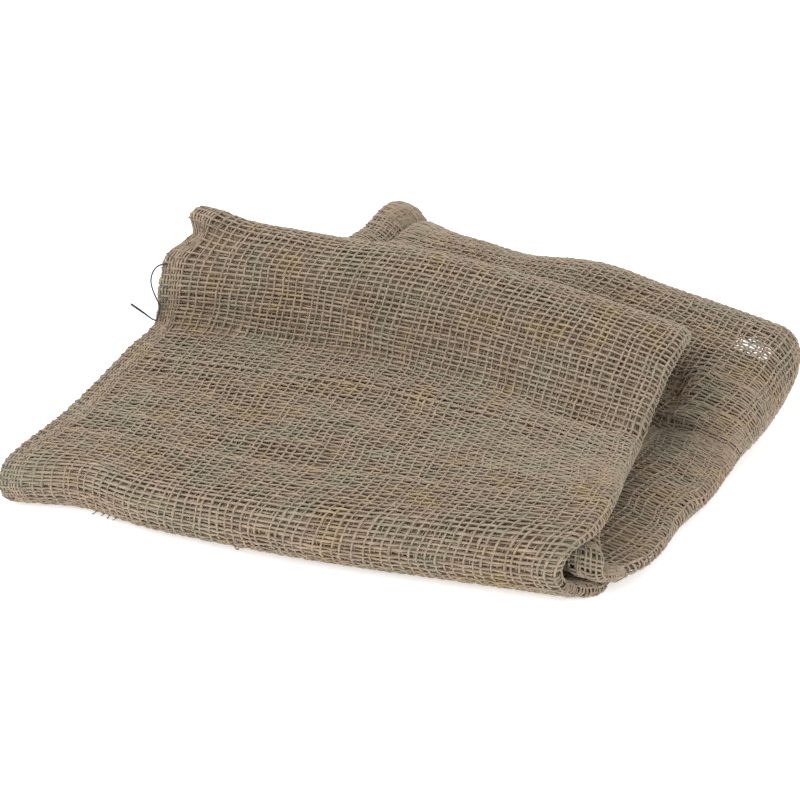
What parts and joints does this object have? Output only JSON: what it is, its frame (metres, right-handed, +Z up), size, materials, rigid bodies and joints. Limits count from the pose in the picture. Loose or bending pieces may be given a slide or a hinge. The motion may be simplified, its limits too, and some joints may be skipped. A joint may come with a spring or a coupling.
{
  "type": "folded jute sack",
  "caption": "Empty open-weave jute sack, folded flat into layers, with a soft hollow roll along its back fold and the lower layers turned askew.",
  "frame": {"origin": "middle of the folded sack's bounding box, at the surface it lies on", "axes": "+X to the lengthwise folded edge (right), -Y to the front fold, +Z up"},
  "size_m": [0.357, 0.3254, 0.0923],
  "materials": {
    "jute": "matt, hairy natural jute yarn in an open plain weave"
  },
  "bodies": {
    "root": {"sack_cloth": "jute"}
  },
  "joints": []
}
